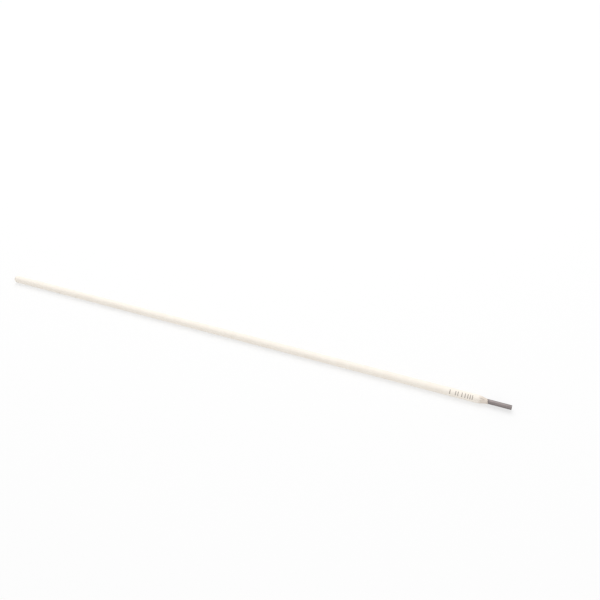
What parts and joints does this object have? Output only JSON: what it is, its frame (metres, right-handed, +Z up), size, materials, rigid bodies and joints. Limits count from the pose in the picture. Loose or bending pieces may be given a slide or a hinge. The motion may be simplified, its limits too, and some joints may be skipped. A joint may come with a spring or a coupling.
{
  "type": "stick welding electrode",
  "caption": "Straight steel core wire in a pale extruded flux coating, brushed to a bare wire end that a holder clamps.",
  "frame": {"origin": "centre of the cut face of the wire at the bare grip end", "axes": "+X along the rod's axis, out of the grip end, so the coated rod lies on the -X side of the origin; +Z up"},
  "size_m": [0.3048, 0.0042, 0.0042],
  "materials": {
    "core_wire": "drawn and wire-brushed, dull grey",
    "flux_coating": "matte, fine mineral grain"
  },
  "bodies": {
    "root": {"core_wire": "core_wire", "flux_coating": "flux_coating"}
  },
  "joints": []
}
